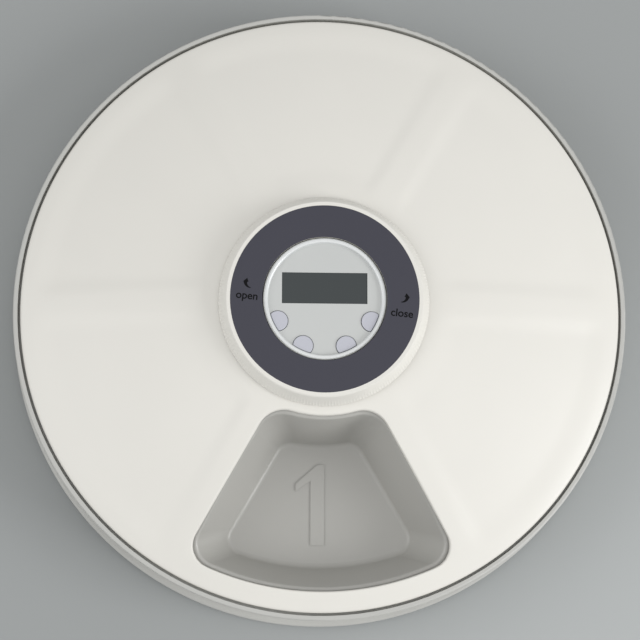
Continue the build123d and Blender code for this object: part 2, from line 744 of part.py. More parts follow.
# Turntable with an internal ring gear, drive dogs and index magnets
dog_reach = tray_hole + TRAY_WALL / 2
with BuildPart() as turntable:
    with BuildSketch(Plane.XY.offset(gear_z - GEAR_GAP)):
        Circle(gear_rim)
        add(gear_outline(ring_teeth, dedendum, addendum, -BACKLASH, 90), mode=Mode.SUBTRACT)
    extrude(amount=turntable_z - gear_z + GEAR_GAP)
    with BuildSketch(Plane.XY.offset(turntable_z)):
        add(ring_sketch(turntable_radius, column_radius + TURNTABLE_GAP))
    extrude(amount=TURNTABLE_PLATE)
    with BuildSketch(Plane.XY.offset(turntable_top)):
        with PolarLocations(dog_reach, DOGS, start_angle=90):
            Rectangle(DOG_DEPTH, DOG_WIDTH)
    extrude(amount=DOG_HEIGHT)
    with BuildSketch(Plane.XY.offset(turntable_z)):
        with PolarLocations(magnet_reach, POCKETS):
            Circle(MAGNET_RADIUS)
    extrude(amount=MAGNET_DEPTH, mode=Mode.SUBTRACT)
finish(turntable, "turntable")

with BuildPart() as index_magnets:
    with BuildSketch(Plane.XY.offset(turntable_z)):
        with PolarLocations(magnet_reach, POCKETS):
            Circle(MAGNET_RADIUS)
    extrude(amount=MAGNET_DEPTH)
finish(index_magnets, "index_magnets")

with BuildPart() as glide_ring:
    with BuildSketch(Plane.XY.offset(floor_top)):
        add(ring_sketch(gear_rim, pitch_ring + dedendum))
    extrude(amount=gear_z - GEAR_GAP - RUNNING_GAP - floor_top)
finish(glide_ring, "glide_ring")

with BuildPart() as position_sensor:
    with BuildSketch(Plane.XY.offset(floor_top)):
        with Locations((magnet_reach + SENSOR_CHIP[0] - SENSOR_CHIP[0] / 4, 0)):
            Rectangle(*SENSOR_BOARD[:2])
    extrude(amount=SENSOR_BOARD[2])
    with BuildSketch(Plane.XY.offset(floor_top + SENSOR_BOARD[2])):
        with Locations((magnet_reach, 0)):
            Rectangle(*SENSOR_CHIP[:2])
    extrude(amount=SENSOR_CHIP[2])
finish(position_sensor, "position_sensor")

# Food tray: domed deck, collar, six drafted pockets with raised digits
deck_inner_z = dome_z(opening_inner, deck_drop)
deck_outer_z = dome_z(opening_outer, deck_drop)
deck_tilt = atan((deck_inner_z - deck_outer_z) / (opening_outer - opening_inner))
deck_axis_z = deck_inner_z + opening_inner * tan(deck_tilt)
deck_middle = (tray_hole + tray_radius) / 2
mouth_plane = Plane((0, 0, deck_axis_z + POCKET_OVERRUN), (1, 0, 0), (0, -sin(deck_tilt), cos(deck_tilt)))


def pocket_solid(grow, floor_z):
    """Body of one pocket about -y, grown outwards, from its floor up past the sloping deck."""
    inner_rise = deck_inner_z + POCKET_OVERRUN - floor_z
    outer_rise = deck_outer_z + POCKET_OVERRUN - floor_z
    with BuildPart() as body:
        with BuildSketch(Plane.XY.offset(floor_z)):
            add(
                sector_outline(
                    FLOOR_SIDE - grow, floor_inner - grow, floor_outer + grow, FLOOR_CORNER, FLOOR_CORNER
                )
            )
        with BuildSketch(mouth_plane):
            add(
                sector_outline(
                    TOP_SIDE - grow,
                    (floor_inner - grow - INNER_DRAFT * inner_rise) / cos(deck_tilt),
                    (floor_outer + grow + OUTER_DRAFT * outer_rise) / cos(deck_tilt),
                    POCKET_CORNER,
                    POCKET_OUTER_CORNER,
                    atan(tan(pi / POCKETS) * cos(deck_tilt)),
                )
            )
        loft(ruled=True)
        if grow == 0:
            fillet(body.faces().sort_by(Axis.Z)[0].edges(), POCKET_FILLET)
    return body.part


pocket_outside = pocket_solid(TRAY_WALL, tray_floor_z - TRAY_WALL)
pocket_inside = pocket_solid(0, tray_floor_z)
with BuildPart() as under_deck:
    with BuildSketch(Plane.XZ):
        with BuildLine():
            deck = ThreePointArc(
                (tray_hole, dome_z(tray_hole, deck_drop)),
                (deck_middle, dome_z(deck_middle, deck_drop)),
                (tray_radius, dome_z(tray_radius, deck_drop)),
            )
            Polyline(deck @ 1, (tray_radius, 0), (tray_hole, 0), deck @ 0)
        make_face()
    revolve(axis=Axis.Z)

with BuildPart() as food_tray:
    add(under_deck.part)
    with BuildSketch(Plane.XZ):
        with BuildLine():
            drop = deck_drop + TRAY_WALL
            under = ThreePointArc(
                (tray_hole + TRAY_WALL, dome_z(tray_hole + TRAY_WALL, drop)),
                (deck_middle, dome_z(deck_middle, drop)),
                (tray_radius - TRAY_WALL, dome_z(tray_radius - TRAY_WALL, drop)),
            )
            Polyline(
                under @ 1,
                (tray_radius - TRAY_WALL, -TRAY_WALL),
                (tray_hole + TRAY_WALL, -TRAY_WALL),
                under @ 0,
            )
        make_face()
    revolve(axis=Axis.Z, mode=Mode.SUBTRACT)
    with BuildSketch():
        add(ring_sketch(tray_radius + TRAY_WALL, tray_hole + TRAY_WALL + FIT_CLEARANCE))
    extrude(amount=dome_z(tray_radius, deck_drop) - TRAY_SKIRT, mode=Mode.SUBTRACT)
    with BuildSketch():
        add(ring_sketch(tray_hole + 2 * TRAY_WALL, tray_hole - TRAY_WALL))
    extrude(amount=turntable_top, mode=Mode.SUBTRACT)
    with BuildPart(mode=Mode.PRIVATE) as shells:
        with PolarLocations(0, POCKETS):
            add(pocket_outside)
        add(under_deck.part, mode=Mode.INTERSECT)
    add(shells.part)
    with PolarLocations(0, POCKETS):
        add(pocket_inside, mode=Mode.SUBTRACT)
    with BuildSketch(Plane.XY.offset(turntable_top)):
        with PolarLocations(dog_reach, DOGS, start_angle=90):
            Rectangle(2 * DOG_DEPTH, DOG_WIDTH + DOG_CLEARANCE)
    extrude(amount=DOG_HEIGHT + DOG_CLEARANCE, mode=Mode.SUBTRACT)
    fillet(dome_edges(food_tray, deck_drop, tray_hole + TRAY_WALL, tray_radius - TRAY_WALL), POCKET_RIM)
    for pocket in range(POCKETS):
        with BuildSketch(Plane.XY.offset(tray_floor_z - DIGIT_ROOT)):
            with Locations(Location((0, 0, 0), (0, 0, sector_step * pocket)) * Location((0, -digit_reach))):
                add(digit_outline(pocket + 1))
        extrude(amount=DIGIT_RELIEF + DIGIT_ROOT)
finish(food_tray, "food_tray")

# Lid: domed shell with a skirt, five shallow recesses and the feeding opening
lid_middle = (lid_hole + lid_radius) / 2
skirt_z = ledge_z + REST_GAP
with BuildPart() as lid:
    with BuildSketch(Plane.XZ):
        with BuildLine():
            top = ThreePointArc(
                (lid_hole, dome_z(lid_hole)),
                (lid_middle, dome_z(lid_middle)),
                (lid_radius, dome_z(lid_radius)),
            )
            inner = ThreePointArc(
                (skirt_inner, dome_z(skirt_inner, LID_THICKNESS)),
                (lid_middle, dome_z(lid_middle, LID_THICKNESS)),
                (lid_hole, dome_z(lid_hole, LID_THICKNESS)),
            )
            Polyline(top @ 1, (lid_radius, skirt_z), (skirt_inner, skirt_z), inner @ 0)
            Line(inner @ 1, top @ 0)
        make_face()
    revolve(axis=Axis.Z)
    lid_edges = lid.edges().filter_by(GeomType.CIRCLE).filter_by(
        lambda e: abs(e.radius - lid_radius) < 0.01 and e.center().Z > RIM_Z - LID_EDGE_ROUND
    )
    fillet(lid_edges, LID_EDGE_ROUND)
    with BuildSketch(Plane.XY.offset(ledge_z)):
        add(
            sector_outline(
                OPENING_SIDE, opening_inner, opening_outer, OPENING_CORNER, OPENING_OUTER_CORNER
            )
        )
    extrude(amount=ring_top - ledge_z, mode=Mode.SUBTRACT)
    fillet(dome_edges(lid, 0, lid_hole + LID_THICKNESS, skirt_inner), OPENING_LIP)
    with BuildPart(mode=Mode.PRIVATE) as recess:
        with BuildSketch(Plane.XY.offset(RIM_Z)):
            add(sector_outline(RECESS_SIDE, recess_inner, recess_outer, RECESS_CORNER, RECESS_CORNER))
        extrude(amount=ring_top - RIM_Z)
        with Locations((0, 0, dome_centre)):
            Sphere(dome_radius - RECESS_DEPTH, mode=Mode.SUBTRACT)
    for panel in range(1, POCKETS):
        with Locations(Location((0, 0, 0), (0, 0, sector_step * panel))):
            add(recess.part, mode=Mode.SUBTRACT)
finish(lid, "lid")

# Lock ring: face plate, knurled skirt, neck through the lid and bayonet lugs
retainer_top = dome_z(lid_hole, LID_THICKNESS) - NECK_CLEARANCE
skirt_foot = dome_z(ring_skirt_radius) + RING_LIFT
neck_top = ring_under + RING_EDGE
sleeve_inner = HEAD_RADIUS + LUG_REACH + LUG_SIDE_GAP
with BuildPart() as lock_ring:
    with BuildSketch(Plane.XZ):
        with BuildLine():
            Polyline(
                (ring_bore, ring_under),
                (ring_bore, ring_top - FACE_DEPTH),
                (RING_FACE_RADIUS, ring_top - FACE_DEPTH),
                (RING_FACE_RADIUS, ring_top),
                (ring_lip_radius - RING_EDGE, ring_top),
                (ring_lip_radius, ring_top - RING_EDGE),
                (ring_skirt_radius, skirt_foot),
                (ring_skirt_radius - RING_WALL, skirt_foot),
                (ring_lip_radius - RING_WALL, ring_under),
                close=True,
            )
        make_face()
    revolve(axis=Axis.Z)
    with BuildSketch(Plane.XY.offset(retainer_top)):
        add(ring_sketch(ring_neck, ring_neck - RING_WALL))
    extrude(amount=neck_top - retainer_top)
    with BuildSketch(Plane.XY.offset(lug_z)):
        add(ring_sketch(sleeve_inner + SLEEVE_WALL, sleeve_inner))
    extrude(amount=neck_top - lug_z)
    with BuildSketch(Plane.XY.offset(lug_z)):
        for lug in range(LUGS):
            turn = LUG_START + 360 / LUGS * lug
            add(wedge_sketch(sleeve_inner + LUG_LAP, HEAD_RADIUS + LUG_SIDE_GAP, LUG_ANGLE, turn))
    extrude(amount=LUG_HEIGHT)
    with BuildSketch(Plane.XY.offset(retainer_top)):
        with PolarLocations(retainer_screw_reach, RETAINER_SCREWS):
            Circle(RETAINER_BOSS_RADIUS)
    extrude(amount=neck_top - retainer_top)
    with BuildSketch(Plane.XY.offset(retainer_top)):
        with PolarLocations(retainer_screw_reach, RETAINER_SCREWS):
            Circle(RETAINER_SCREW_RADIUS)
    extrude(amount=RETAINER_THREAD + LUG_LAP, mode=Mode.SUBTRACT)
finish(lock_ring, "lock_ring")

with BuildPart() as ring_face:
    with BuildSketch(Plane.XY.offset(ring_top - FACE_DEPTH)):
        add(ring_sketch(RING_FACE_RADIUS - FIT_CLEARANCE, ring_bore))
    extrude(amount=FACE_DEPTH)
finish(ring_face, "ring_face")

with BuildPart() as ring_retainer:
    with BuildSketch(Plane.XY.offset(retainer_top - RETAINER_PLATE)):
        add(ring_sketch(retainer_radius, ring_neck - RING_WALL - RUNNING_GAP))
        with PolarLocations(retainer_screw_reach, RETAINER_SCREWS):
            Circle(RETAINER_BOSS_RADIUS + NECK_CLEARANCE)
        with PolarLocations(retainer_screw_reach, RETAINER_SCREWS):
            Circle(RETAINER_SCREW_RADIUS, mode=Mode.SUBTRACT)
    extrude(amount=RETAINER_PLATE)
finish(ring_retainer, "ring_retainer")

with BuildPart() as retainer_screws:
    with BuildSketch(Plane.XY.offset(retainer_top - RETAINER_PLATE)):
        with PolarLocations(retainer_screw_reach, RETAINER_SCREWS):
            Circle(RETAINER_SCREW_RADIUS)
    extrude(amount=RETAINER_PLATE + RETAINER_THREAD)
    with BuildSketch(Plane.XY.offset(retainer_top - RETAINER_PLATE - RETAINER_HEAD)):
        with PolarLocations(retainer_screw_reach, RETAINER_SCREWS):
            Circle(RETAINER_HEAD_RADIUS)
    extrude(amount=RETAINER_HEAD)
finish(retainer_screws, "retainer_screws")

# Control panel: plate with a bezel lip, display window, button holes and board posts
bezel_inner = HEAD_RADIUS - BEZEL_WIDTH
button_limit = bezel_inner - BUTTON_CLEARANCE
button_reach = bezel_inner - BUTTON_INSET
stem_reach = button_reach - STEM_INSET
board_radius = HEAD_RADIUS - HEAD_WALL - BOARD_GAP
module_top = LCD_Y + LCD_HEIGHT / 2 + LCD_MARGIN
module_foot = LCD_Y - LCD_HEIGHT / 2 - LCD_MARGIN
module_reach = HEAD_RADIUS - HEAD_WALL - LCD_CLEARANCE
lcd_width = 2 * (sqrt(module_reach**2 - module_top**2) - LCD_MARGIN)
post_top = module_top + POST_GAP + POST_RADIUS
post_foot = module_foot - POST_GAP - POST_RADIUS
post_spots = [(-POST_X, post_top), (POST_X, post_foot), (-POST_X, post_foot)]
button_turns = [(sin(radians(a)), -cos(radians(a))) for a in BUTTON_ANGLES]
button_spots = [(button_reach * x, button_reach * y) for x, y in button_turns]
stem_spots = [(stem_reach * x, stem_reach * y) for x, y in button_turns]


def button_outline(spot, grow, reach):
    """Round button clipped to the space inside the bezel lip."""
    with BuildSketch() as outline:
        with Locations(spot):
            Circle(BUTTON_RADIUS + grow)
        Circle(reach, mode=Mode.INTERSECT)
    return outline.sketch


with BuildPart() as control_panel:
    with BuildSketch(Plane.XY.offset(panel_under)):
        Circle(HEAD_RADIUS)
    extrude(amount=PANEL_PLATE)
    with BuildSketch(Plane.XY.offset(panel_top)):
        add(ring_sketch(HEAD_RADIUS, bezel_inner))
    extrude(amount=BEZEL_HEIGHT)
    fillet(control_panel.faces().sort_by(Axis.Z)[-1].edges(), BEZEL_WIDTH * 0.35)
    with BuildSketch(Plane.XY.offset(board_top)):
        with Locations(*post_spots):
            Circle(POST_RADIUS)
    extrude(amount=panel_under - board_top)
    with BuildSketch(Plane.XY.offset(board_top)):
        with Locations(*post_spots):
            Circle(BOARD_SCREW_RADIUS)
    extrude(amount=BOARD_SCREW_LENGTH + POST_END_GAP, mode=Mode.SUBTRACT)
    with BuildSketch(Plane.XY.offset(panel_under)):
        with Locations((0, LCD_Y)):
            Rectangle(lcd_width, LCD_HEIGHT)
        for spot in button_spots:
            add(button_outline(spot, BUTTON_CLEARANCE, bezel_inner))
    extrude(amount=PANEL_PLATE, mode=Mode.SUBTRACT)
finish(control_panel, "control_panel")

with BuildPart() as display_window:
    with BuildSketch(Plane.XY.offset(panel_under + LCD_WINDOW_LIFT)):
        with Locations((0, LCD_Y)):
            Rectangle(lcd_width, LCD_HEIGHT)
    extrude(amount=PANEL_PLATE - LCD_WINDOW_LIFT - LCD_WINDOW_SUNK)
finish(display_window, "display_window")

with BuildPart() as lcd_module:
    with BuildSketch(Plane.XY.offset(panel_under - LCD_DEPTH)):
        with Locations((0, LCD_Y)):
            Rectangle(lcd_width + 2 * LCD_MARGIN, LCD_HEIGHT + 2 * LCD_MARGIN)
    extrude(amount=LCD_DEPTH)
finish(lcd_module, "lcd_module")

with BuildPart() as lcd_frame:
    with BuildSketch(Plane.XY.offset(board_top)):
        with Locations((0, LCD_Y)):
            Rectangle(lcd_width + 2 * LCD_MARGIN, LCD_HEIGHT + 2 * LCD_MARGIN)
            Rectangle(
                lcd_width + 2 * (LCD_MARGIN - LCD_FRAME_WALL),
                LCD_HEIGHT + 2 * (LCD_MARGIN - LCD_FRAME_WALL),
                mode=Mode.SUBTRACT,
            )
    extrude(amount=panel_under - LCD_DEPTH - board_top)
finish(lcd_frame, "lcd_frame")

with BuildPart() as circuit_board:
    with BuildSketch(Plane.XY.offset(board_under)):
        Circle(board_radius)
        with Locations(*post_spots):
            Circle(BOARD_SCREW_RADIUS + STEM_GAP, mode=Mode.SUBTRACT)
    extrude(amount=BOARD_THICKNESS)
finish(circuit_board, "circuit_board")

with BuildPart() as panel_screws:
    with BuildSketch(Plane.XY.offset(board_under)):
        with Locations(*post_spots):
            Circle(BOARD_SCREW_RADIUS)
    extrude(amount=BOARD_THICKNESS + BOARD_SCREW_LENGTH)
    with BuildSketch(Plane.XY.offset(board_under - BOARD_SCREW_HEAD)):
        with Locations(*post_spots):
            Circle(BOARD_SCREW_HEAD_RADIUS)
    extrude(amount=BOARD_SCREW_HEAD)
finish(panel_screws, "panel_screws")

switch_top = board_top + SWITCH_HEIGHT
with BuildPart() as tact_switches:
    with BuildSketch(Plane.XY.offset(board_top)):
        with Locations(*stem_spots):
            Rectangle(SWITCH_SIZE, SWITCH_SIZE)
    extrude(amount=SWITCH_HEIGHT)
    with BuildSketch(Plane.XY.offset(switch_top)):
        with Locations(*stem_spots):
            Circle(SWITCH_TIP_RADIUS)
    extrude(amount=SWITCH_TIP)
finish(tact_switches, "tact_switches")

with BuildPart() as buzzer:
    with BuildSketch(Plane.XY.offset(board_top)):
        with Locations((BUZZER_X, post_top)):
            Circle(BUZZER_RADIUS)
            Circle(BUZZER_PORT, mode=Mode.SUBTRACT)
    extrude(amount=BUZZER_HEIGHT)
finish(buzzer, "buzzer")

# Four clipped round buttons, each with a flange under the panel and a stem to its switch
stem_z = switch_top + SWITCH_TIP + BUTTON_TRAVEL + STEM_GAP
flange_z = panel_under - BUTTON_FLANGE_HEIGHT
flange_limit = HEAD_RADIUS - HEAD_WALL - BUTTON_CLEARANCE
for number, (button_spot, stem_spot) in enumerate(zip(button_spots, stem_spots), start=1):
    with BuildPart() as button:
        with BuildSketch(Plane.XY.offset(flange_z)):
            add(button_outline(button_spot, 0, button_limit))
        extrude(amount=BUTTON_FLANGE_HEIGHT + PANEL_PLATE + BUTTON_PROUD)
        fillet(button.faces().sort_by(Axis.Z)[-1].edges(), BUTTON_ROUND)
        with BuildSketch(Plane.XY.offset(flange_z)):
            add(button_outline(button_spot, BUTTON_FLANGE, flange_limit))
        extrude(amount=BUTTON_FLANGE_HEIGHT - FIT_CLEARANCE)
        with BuildSketch(Plane.XY.offset(stem_z)):
            with Locations(stem_spot):
                Circle(STEM_RADIUS)
        extrude(amount=flange_z - stem_z)
    finish(button, f"button_{number}")
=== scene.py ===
import math

import bmesh
import bpy
from bpy.props import FloatProperty, FloatVectorProperty, IntProperty, PointerProperty
from mathutils import Matrix, Quaternion, Vector


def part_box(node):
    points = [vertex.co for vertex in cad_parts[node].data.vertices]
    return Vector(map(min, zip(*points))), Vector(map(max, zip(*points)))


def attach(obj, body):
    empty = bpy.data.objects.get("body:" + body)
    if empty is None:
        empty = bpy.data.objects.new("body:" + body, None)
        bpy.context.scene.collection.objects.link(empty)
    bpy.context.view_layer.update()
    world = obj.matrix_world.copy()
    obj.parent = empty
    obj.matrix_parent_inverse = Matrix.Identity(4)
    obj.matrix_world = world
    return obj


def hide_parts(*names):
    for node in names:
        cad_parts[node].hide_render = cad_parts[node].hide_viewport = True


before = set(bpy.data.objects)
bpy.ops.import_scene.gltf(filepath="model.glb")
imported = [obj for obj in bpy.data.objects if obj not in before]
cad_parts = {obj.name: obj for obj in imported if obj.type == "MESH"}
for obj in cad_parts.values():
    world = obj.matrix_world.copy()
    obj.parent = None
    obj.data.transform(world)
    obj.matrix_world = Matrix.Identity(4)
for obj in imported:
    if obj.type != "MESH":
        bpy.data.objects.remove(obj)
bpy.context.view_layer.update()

bl_info = {
    "name": "Pet feeder",
    "version": (1, 0, 0),
    "blender": (4, 5, 0),
    "location": "3D View > Sidebar > Feeder",
    "description": "Dresses the packed pet feeder with lid, lock ring, marks, finishes and stage",
    "category": "Object",
}

LID_LOW, LID_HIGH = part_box("lid")
RING_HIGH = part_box("lock_ring")[1]
FACE_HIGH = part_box("ring_face")[1]

# Sockets of a colour mix node
MIX_SHARE, MIX_UNDER, MIX_OVER, MIX_RESULT = 0, 6, 7, 2

# Finishes
CLOUD_SCALE = 28.0
GLOSS_SPREAD = 0.18
GRAIN_DEPTH = 0.0002
COAT_ROUGHNESS = 0.12
RUBBER_BLACK = (0.03, 0.03, 0.03)
COLUMN_WHITE = (0.66, 0.66, 0.63)
SCREW_GREY = (0.55, 0.55, 0.56)
ACETAL_WHITE = (0.80, 0.80, 0.77)
CAN_GREY = (0.48, 0.48, 0.50)
MASK_GREEN = (0.02, 0.15, 0.055)
TRACE_SCALE = 260.0
TRACE_GREEN = (0.06, 0.27, 0.10)
SWITCH_BLACK = (0.02, 0.02, 0.022)
SLEEVE_BLUE = (0.06, 0.065, 0.08)
SLEEVE_COPPER = (0.55, 0.36, 0.20)
SLEEVE_BAND = (0.0122, 0.0118)
PLATE_YELLOW = (0.72, 0.56, 0.28)
INK_BLACK = (0.004, 0.004, 0.005)
GLASS_GREEN = (0.10, 0.12, 0.10)
# Painted highlight: a paler colour laid over the panel's bezel ring beyond this span of radii
BEZEL_HIGHLIGHT_EDGE = (0.0283, 0.0287)
BEZEL_PAINTED_HIGHLIGHT = (0.78, 0.80, 0.80)

# Lid mesh
SECTORS = 6
SECTOR_DEG = 360.0 / SECTORS
HALF_SECTOR = math.radians(SECTOR_DEG / 2)
COLUMNS = 240
OPEN_COLUMNS = COLUMNS // SECTORS
ROWS = 60
PATCH_INNER, PATCH_OUTER = 0.052, 0.150
HOLE_BAND = 0.0012
RIM_RADIUS = 0.152
RIM_BANDS = (0.0023, 0.0012)
EDGE_ROUND = ((0.0006, 0.00035), (0.0002, 0.0008), (0.0, 0.0015))
SKIRT_CHAMFER = 0.0004
CORNER_STEPS = 40
ARC_STEPS = 20
BLEND_SHARES = (0.75, 0.5)
LIP_SHARES = (1.0, 0.7, 0.45, 0.2, 0.06)
LID_SHARP_ANGLE = 0.7

# Lock ring
RING_FLARE = 0.0035
KNURL_SIDES = 6
KNURL_MARGIN = 0.0012
KNURL_SINK = 0.00026
KNURL_SHARE = 0.94
MARK_LIFT = 0.00003
MARK_LEAN = math.radians(-6.0)
FONT_SCALE = 1.45
STROKE_GROWTH = 0.00008
WORDS = (("open", (-0.0391, 0.0009)), ("close", (0.0387, -0.0074)))
ARROWS = (("arrow_open", (-0.0398, 0.0071), -1), ("arrow_close", (0.0412, 0.0000), 1))
ARROW_BEND = 0.0029
ARROW_STEPS = 16
ARROW_TAIL_DEG, ARROW_SWEEP_DEG = -72.0, 90.0
ARROW_SLIM, ARROW_GROWTH = 0.00012, 0.00080
ARROW_NECK, ARROW_TIP = math.radians(16.0), math.radians(60.0)
ARROW_BARBS = (-0.0015, 0.0014)
ARROW_LEAN = math.radians(20.0)

# Stage
FLOOR_REACH = 4
# Painted light on the floor: its colour is raised by this factor towards the lower right, along
# this way and span
FLOOR_PAINTED_LIGHT = 1.3
FLOOR_PAINTED_LIGHT_WAY = (0.707, -0.707, 0)
FLOOR_PAINTED_LIGHT_SPAN = (0.02, 0.26)
LAMPS = (
    ("key", (2.0, -0.72, 1.20), 1.2, 28.8),
    ("fill", (-1.9, -0.25, 1.5), 1.6, 14.2),
    ("top", (0.2, -0.3, 2.4), 2.0, 7.0),
)
LAMP_AIM = Vector((0, 0, 0.04))
WORLD_COLOUR = (0.80, 0.80, 0.80, 1)
WORLD_STRENGTH = 0.66
SENSOR_WIDTH = 36.0
FOCAL_LENGTH = 92.87
CAMERA_PLACE = (-0.0401, -0.1398, 0.8906)
CAMERA_TILT_DEG = Vector((8.96, -2.65, 0.36))


def length(name, default, description):
    """A size in metres for the sidebar."""
    return FloatProperty(
        name=name, description=description, default=default, unit="LENGTH", precision=5
    )


def tint(name, default, description):
    """A linear colour for the sidebar."""
    return FloatVectorProperty(
        name=name,
        description=description,
        default=default,
        size=3,
        subtype="COLOR",
        min=0.0,
        max=1.0,
    )


class FeederSizes(bpy.types.PropertyGroup):
    """Sizes of the dressed pieces."""

    lid_edge: length("Lid edge radius", LID_HIGH.x, "Outer radius of the lid's skirt")
    lid_edge_height: length("Lid edge height", 0.0423, "Height where the dome meets the skirt")
    lid_seat_radius: length("Seat radius", 0.055, "Radius at which the seat height is measured")
    lid_seat_height: length("Seat height", 0.0665, "Height of the dome under the lock ring")
    lid_hole: length("Lid hole radius", 0.0486, "Radius of the hole for the lock ring's neck")
    lid_wall: length("Lid wall", 0.003, "Thickness of the dome")
    lid_bottom: length("Skirt bottom", LID_LOW.z, "Height of the skirt's lower edge")
    opening_side: length(
        "Opening side", 0.00325, "Distance of the opening's sides from the sector's edges"
    )
    opening_inner: length("Opening inner radius", 0.058, "Inner edge of the feeding opening")
    opening_outer: length("Opening outer radius", 0.1453, "Outer edge of the feeding opening")
    opening_corner_in: length("Inner corner", 0.014, "Radius of the opening's inner corners")
    opening_corner_out: length("Outer corner", 0.0115, "Radius of the opening's outer corners")
    opening_lip: length("Opening lip", 0.0012, "Rounding of the opening's upper edge")
    recess_side: length("Recess side", 0.009, "Distance of a recess from its spokes' middle lines")
    recess_inner: length("Recess inner radius", 0.063, "Inner edge of a recess")
    recess_outer: length("Recess outer radius", 0.1445, "Outer edge of a recess")
    recess_depth: length("Recess depth", 0.0009, "How far a recess lies below the dome")
    recess_slope: length("Recess slope", 0.008, "Width of the soft slope along a spoke")
    recess_fall: length("Recess fall", 0.015, "Width of the soft slope at a recess's ends")
    knurl_count: IntProperty(
        name="Knurl ridges", description="Ridges round the lock ring", default=210
    )
    knurl_width: length("Knurl width", 0.0008, "Width of one ridge")
    mark_height: length("Mark height", 0.0038, "Letter height of the open and close words")


class FeederColours(bpy.types.PropertyGroup):
    """Colours of the finishes."""

    lid: tint("Lid", (0.80, 0.785, 0.735), "Warm white moulded plastic")
    base: tint("Base", (0.52, 0.52, 0.495), "Light grey moulded plastic")
    tray: tint("Tray", (0.46, 0.455, 0.43), "Grey food tray")
    ring: tint("Ring face", (0.042, 0.042, 0.060), "Dark printed ring")
    panel: tint("Panel", (0.585, 0.60, 0.59), "Silver paint")
    display: tint("Display", (0.052, 0.060, 0.062), "Blank display window")
    button: tint("Buttons", (0.53, 0.54, 0.60), "Pale lilac plastic")
    floor: tint("Floor", (0.355, 0.37, 0.37), "Pale grey studio floor")


def node(tree, kind, **values):
    """Add a shader node and set its plain sockets by name."""
    made = tree.nodes.new(kind)
    for key, value in values.items():
        made.inputs[key.replace("_", " ")].default_value = value
    return made


def moulded(
    name,
    colour,
    rough=0.36,
    drift=0.05,
    grain=900.0,
    bump=0.05,
    metal=0.0,
    coat=0.0,
    shine=0.5,
    brush=None,
):
    """Moulded, painted or brushed finish: faint colour drift, uneven gloss and a fine grain."""
    material = bpy.data.materials.new(name)
    material.use_nodes = True
    tree = material.node_tree
    shader = tree.nodes["Principled BSDF"]
    shader.inputs["Metallic"].default_value = metal
    shader.inputs["Specular IOR Level"].default_value = shine
    shader.inputs["Coat Weight"].default_value = coat
    shader.inputs["Coat Roughness"].default_value = COAT_ROUGHNESS
    place = tree.nodes.new("ShaderNodeTexCoord")
    cloud = node(tree, "ShaderNodeTexNoise", Scale=CLOUD_SCALE, Detail=4.0)
    fine = node(tree, "ShaderNodeTexNoise", Scale=grain, Detail=2.0)
    tree.links.new(place.outputs["Object"], cloud.inputs["Vector"])
    spot = place.outputs["Object"]
    if brush:
        stretch = node(tree, "ShaderNodeMapping", Scale=brush)
        tree.links.new(spot, stretch.inputs["Vector"])
        spot = stretch.outputs["Vector"]
    tree.links.new(spot, fine.inputs["Vector"])
    share = (fine if brush else cloud).outputs["Fac"]
    mix = tree.nodes.new("ShaderNodeMix")
    mix.data_type = "RGBA"
    mix.inputs[MIX_UNDER].default_value = (*[c * (1 - drift) for c in colour], 1)
    mix.inputs[MIX_OVER].default_value = (*[min(1.0, c * (1 + drift)) for c in colour], 1)
    tree.links.new(share, mix.inputs[MIX_SHARE])
    tree.links.new(mix.outputs[MIX_RESULT], shader.inputs["Base Color"])
    low, high = rough * (1 - GLOSS_SPREAD), min(1.0, rough * (1 + GLOSS_SPREAD))
    gloss = node(tree, "ShaderNodeMapRange", To_Min=low, To_Max=high)
    tree.links.new(share, gloss.inputs["Value"])
    tree.links.new(gloss.outputs["Result"], shader.inputs["Roughness"])
    relief = node(tree, "ShaderNodeBump", Strength=bump, Distance=GRAIN_DEPTH)
    tree.links.new(fine.outputs["Fac"], relief.inputs["Height"])
    tree.links.new(relief.outputs["Normal"], shader.inputs["Normal"])
    return material


def repaint(material, share, colour):
    """Lay a colour over a finish where a share socket of its tree is 1."""
    tree = material.node_tree
    base = tree.nodes["Principled BSDF"].inputs["Base Color"]
    over = tree.nodes.new("ShaderNodeMix")
    over.data_type = "RGBA"
    over.inputs[MIX_OVER].default_value = (*colour, 1)
    tree.links.new(share, over.inputs[MIX_SHARE])
    tree.links.new(base.links[0].from_socket, over.inputs[MIX_UNDER])
    tree.links.new(over.outputs[MIX_RESULT], base)


def measure(material, kind, vector, low, high):
    """A share that rises from 0 to 1 as the place's length or dot product goes from low to high."""
    tree = material.node_tree
    place = tree.nodes.new("ShaderNodeTexCoord")
    flat = tree.nodes.new("ShaderNodeVectorMath")
    flat.operation = "MULTIPLY"
    flat.inputs[1].default_value = vector
    tree.links.new(place.outputs["Object"], flat.inputs[0])
    found = tree.nodes.new("ShaderNodeVectorMath")
    found.operation = kind
    found.inputs[1].default_value = (1, 1, 1)
    tree.links.new(flat.outputs["Vector"], found.inputs[0])
    ramp = node(tree, "ShaderNodeMapRange", From_Min=low, From_Max=high)
    ramp.interpolation_type = "SMOOTHSTEP"
    tree.links.new(found.outputs["Value"], ramp.inputs["Value"])
    return ramp.outputs["Result"]


def floor_paper(colour):
    """Matt backdrop paper with painted light: its colour lightens towards the lower right corner of
    the picture.
    """
    material = moulded("floor_paper", colour, rough=0.9, drift=0.01, bump=0.02, shine=0.2)
    # Painted light: the floor's colour lightens towards the lower right
    painted_light = measure(material, "DOT_PRODUCT", FLOOR_PAINTED_LIGHT_WAY, *FLOOR_PAINTED_LIGHT_SPAN)
    repaint(material, painted_light, [c * FLOOR_PAINTED_LIGHT for c in colour])
    return material


